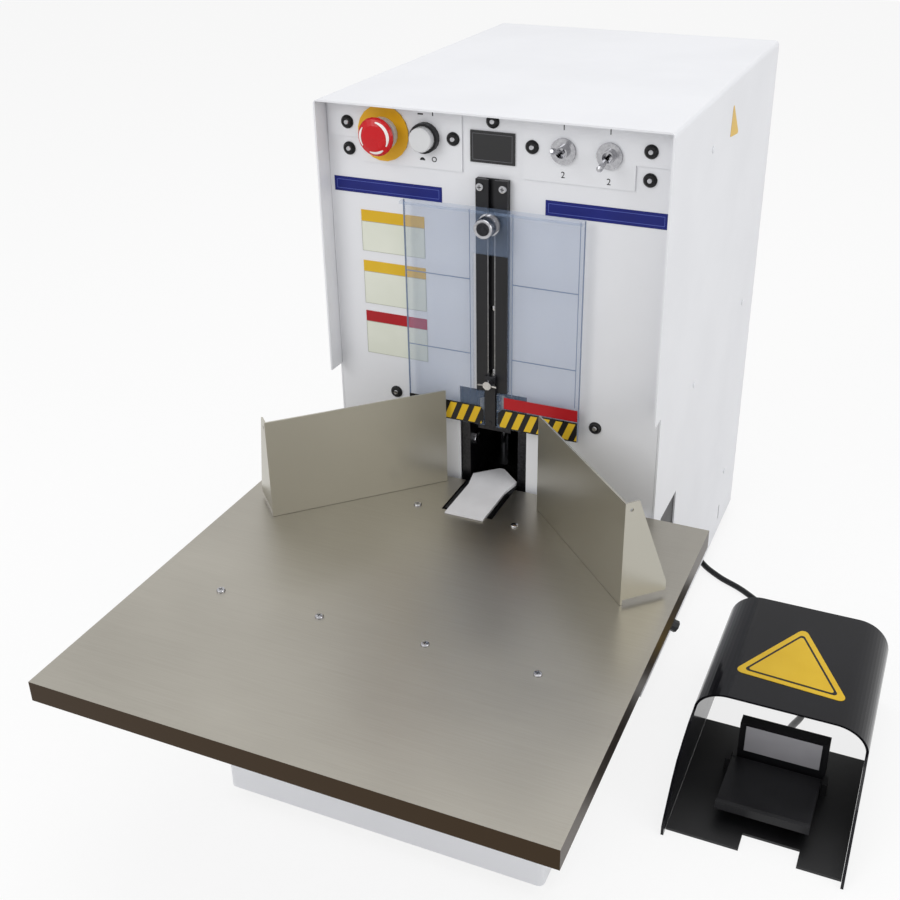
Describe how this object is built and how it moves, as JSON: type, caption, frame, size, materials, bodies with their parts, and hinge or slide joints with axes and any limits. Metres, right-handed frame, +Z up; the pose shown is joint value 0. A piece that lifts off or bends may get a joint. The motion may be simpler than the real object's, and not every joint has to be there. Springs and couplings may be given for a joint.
{
  "type": "corner rounder",
  "caption": "Powered desk corner rounder: white cabinet, steel table with two angled fences, guarded blade head and a foot switch on a cord.",
  "frame": {"origin": "on the floor, under the middle of the bounding box of the machine with its foot switch, cords left out", "axes": "+Z up, +Y from the operator's side to the machine's back, +X to the operator's right"},
  "size_m": [0.699, 1.1338, 0.688],
  "materials": {
    "white_paint": "fine textured white powder coat",
    "brushed_steel": "brushed stainless sheet",
    "bright_steel": "bright plated steel",
    "machined_steel": "machined steel",
    "black_paint": "black coated steel",
    "black_plastic": "black plastic",
    "black_gloss": "glossy black plastic",
    "grey_plastic": "grey plastic",
    "pale_plastic": "pale plastic",
    "clear_plastic": "clear plastic sheet",
    "red_plastic": "red plastic",
    "yellow_plastic": "yellow plastic",
    "rubber": "black rubber"
  },
  "bodies": {
    "machine": {"cover": "white_paint", "front_panel": "white_paint", "rear_panel": "white_paint", "lower_housing": "white_paint", "switch_plate_left": "white_paint", "switch_plate_right": "white_paint", "table": "brushed_steel", "chip_chute": "brushed_steel", "toggle_auto_body": "bright_steel", "toggle_start_body": "bright_steel", "guide_rod_left": "bright_steel", "guide_rod_right": "bright_steel", "shaft_bearing_left": "machined_steel", "shaft_bearing_right": "machined_steel", "bed_block": "machined_steel", "base_plate": "machined_steel", "head_frame": "black_paint", "guard_rail": "black_paint", "gear_motor": "black_paint", "nameplate": "black_paint", "pedal_base": "black_paint", "power_inlet": "black_plastic", "pedal_socket": "black_plastic", "power_button_body": "black_plastic", "pedal_hood": "black_gloss", "estop_body": "grey_plastic", "control_box": "grey_plastic", "pedal_switch_box": "grey_plastic", "cutting_pad": "pale_plastic", "estop_ring": "yellow_plastic", "rubber_foot_front_left": "rubber", "rubber_foot_front_right": "rubber", "rubber_foot_back_left": "rubber", "rubber_foot_back_right": "rubber", "pedal_cord": "rubber", "cord_coil": "rubber", "cord_tail": "rubber"},
    "emergency_stem": {"estop_stem": "black_plastic"},
    "emergency_head": {"estop_head": "red_plastic"},
    "power_button": {"power_button_cap": "pale_plastic"},
    "auto_lever": {"toggle_auto_lever": "bright_steel"},
    "start_lever": {"toggle_start_lever": "bright_steel"},
    "shield_carrier": {"shield": "clear_plastic", "shield_slider": "machined_steel"},
    "shield_clamp_knob": {"shield_knob": "bright_steel"},
    "stop_carrier": {"stop_bar": "black_paint", "stop_slider": "machined_steel"},
    "stop_wing_screw": {"wing_screw": "bright_steel"},
    "ram_head": {"ram": "machined_steel", "blade_holder": "machined_steel", "blade": "machined_steel", "drive_rack": "machined_steel", "clamp_spring": "bright_steel"},
    "pinion": {"pinion_shaft": "machined_steel"},
    "clamp": {"clamp_foot": "machined_steel"},
    "left_fence": {"fence_left": "brushed_steel"},
    "right_fence": {"fence_right": "brushed_steel"},
    "lever": {"clamp_lever": "black_plastic"},
    "drawer": {"chip_drawer": "black_plastic"},
    "treadle": {"pedal_treadle": "black_plastic"}
  },
  "joints": [
    {"name": "estop_push", "type": "slide", "parent": "machine", "child": "emergency_stem", "axis": [0, 1, 0], "range_m": [0, 0.004]},
    {"name": "estop_twist", "type": "hinge", "parent": "emergency_stem", "child": "emergency_head", "pos_m": [-0.2235, -0.0182, 0.655], "axis": [0, 1, 0], "range_deg": [0, 45]},
    {"name": "power_button_press", "type": "slide", "parent": "machine", "child": "power_button", "axis": [0, 1, 0], "range_m": [0, 0.004], "stiffness_N_per_m": 300},
    {"name": "toggle_auto_rock", "type": "hinge", "parent": "machine", "child": "auto_lever", "pos_m": [-0.0275, -0.0105, 0.655], "axis": [1, 0, 0], "range_deg": [0, 32]},
    {"name": "toggle_start_rock", "type": "hinge", "parent": "machine", "child": "start_lever", "pos_m": [0.0195, -0.0105, 0.655], "axis": [1, 0, 0], "range_deg": [-20, 0]},
    {"name": "shield_height", "type": "slide", "parent": "machine", "child": "shield_carrier", "axis": [0, 0, 1], "range_m": [-0.045, 0.015]},
    {"name": "shield_knob_turn", "type": "hinge", "parent": "shield_carrier", "child": "shield_clamp_knob", "pos_m": [-0.101, -0.0149, 0.5755], "axis": [0, 1, 0], "range_deg": [0, 360]},
    {"name": "stop_height", "type": "slide", "parent": "machine", "child": "stop_carrier", "axis": [0, 0, 1], "range_m": [-0.004, 0.05]},
    {"name": "wing_screw_turn", "type": "hinge", "parent": "stop_carrier", "child": "stop_wing_screw", "pos_m": [-0.101, -0.0159, 0.397], "axis": [0, 1, 0], "range_deg": [0, 360]},
    {"name": "ram_stroke", "type": "slide", "parent": "machine", "child": "ram_head", "axis": [0, 0, 1], "range_m": [-0.0617, 0]},
    {"name": "pinion_turn", "type": "hinge", "parent": "machine", "child": "pinion", "pos_m": [-0.1025, 0.1191, 0.432], "axis": [1, 0, 0], "range_deg": [0, 180]},
    {"name": "clamp_slide", "type": "slide", "parent": "ram_head", "child": "clamp", "axis": [0, 0, 1], "range_m": [0, 0.052], "stiffness_N_per_m": 300, "springref_m": -0.02, "deforming": ["clamp_spring"]},
    {"name": "fence_left_slide", "type": "slide", "parent": "machine", "child": "left_fence", "axis": [-0.7071, -0.7071, 0], "range_m": [-0.006, 0.006]},
    {"name": "fence_right_slide", "type": "slide", "parent": "machine", "child": "right_fence", "axis": [0.7071, -0.7071, 0], "range_m": [-0.006, 0.006]},
    {"name": "lever_turn", "type": "hinge", "parent": "machine", "child": "lever", "pos_m": [0.0975, -0.1265, 0.236], "axis": [0, 0, 1], "range_deg": [-40, 40]},
    {"name": "drawer_pull", "type": "slide", "parent": "machine", "child": "drawer", "axis": [1, 0, 0], "range_m": [0, 0.18]},
    {"name": "treadle_press", "type": "hinge", "parent": "machine", "child": "treadle", "pos_m": [0.2585, -0.066, 0.012], "axis": [1, 0, 0], "range_deg": [0, 7], "stiffness_Nm_per_rad": 3, "springref_deg": -11.46}
  ],
  "couplings": [
    {"joint": "pinion_turn", "follows": "ram_stroke", "rad_per_m": -50}
  ]
}
